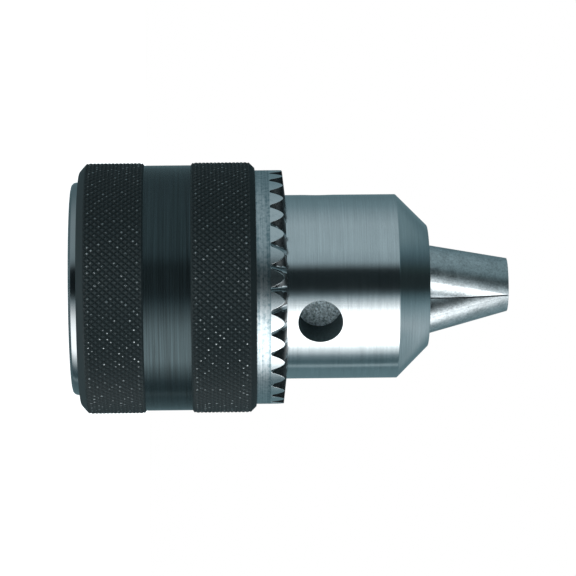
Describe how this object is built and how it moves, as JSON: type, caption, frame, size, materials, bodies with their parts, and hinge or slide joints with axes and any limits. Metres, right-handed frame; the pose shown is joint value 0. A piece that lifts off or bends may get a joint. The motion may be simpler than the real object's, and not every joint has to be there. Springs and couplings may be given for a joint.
{
  "type": "drill chuck",
  "caption": "Keyed three-jaw drill chuck: steel body with key holes, inclined jaws, split threaded nut, bevel-toothed ring and black knurled grip sleeve.",
  "frame": {"origin": "centre of the body's rear face, on the chuck's axis", "axes": "+Z along the chuck's axis from the spindle end to the jaw tips; one key hole faces -Y; one jaw lies towards +Y"},
  "size_m": [0.046, 0.046, 0.08],
  "materials": {
    "turned_steel": "fine turned, satin",
    "ground_steel": "ground, satin",
    "hardened_steel": "hardened, dull",
    "machined_steel": "machined, satin",
    "blackened_steel": "blackened, knurled, with a brushed band"
  },
  "bodies": {
    "body": {"chuck_body": "turned_steel"},
    "collar": {"grip_sleeve": "blackened_steel", "toothed_ring": "machined_steel", "nut_half_1": "hardened_steel", "nut_half_2": "hardened_steel"},
    "first_jaw": {"jaw_1": "ground_steel"},
    "second_jaw": {"jaw_2": "ground_steel"},
    "third_jaw": {"jaw_3": "ground_steel"}
  },
  "joints": [
    {"name": "sleeve_turn", "type": "hinge", "parent": "body", "child": "collar", "pos_m": [0, 0, 0], "axis": [0, 0, 1], "range_deg": [0, 3060]},
    {"name": "jaw_1_slide", "type": "slide", "parent": "body", "child": "first_jaw", "axis": [0.2314, -0.1336, -0.9636], "range_m": [0, 0.01871]},
    {"name": "jaw_2_slide", "type": "slide", "parent": "body", "child": "second_jaw", "axis": [0, 0.2672, -0.9636], "range_m": [0, 0.01871]},
    {"name": "jaw_3_slide", "type": "slide", "parent": "body", "child": "third_jaw", "axis": [-0.2314, -0.1336, -0.9636], "range_m": [0, 0.01871]}
  ],
  "couplings": [
    {"joint": "jaw_1_slide", "follows": "sleeve_turn", "m_per_rad": 0.00035014},
    {"joint": "jaw_2_slide", "follows": "sleeve_turn", "m_per_rad": 0.00035014},
    {"joint": "jaw_3_slide", "follows": "sleeve_turn", "m_per_rad": 0.00035014}
  ]
}
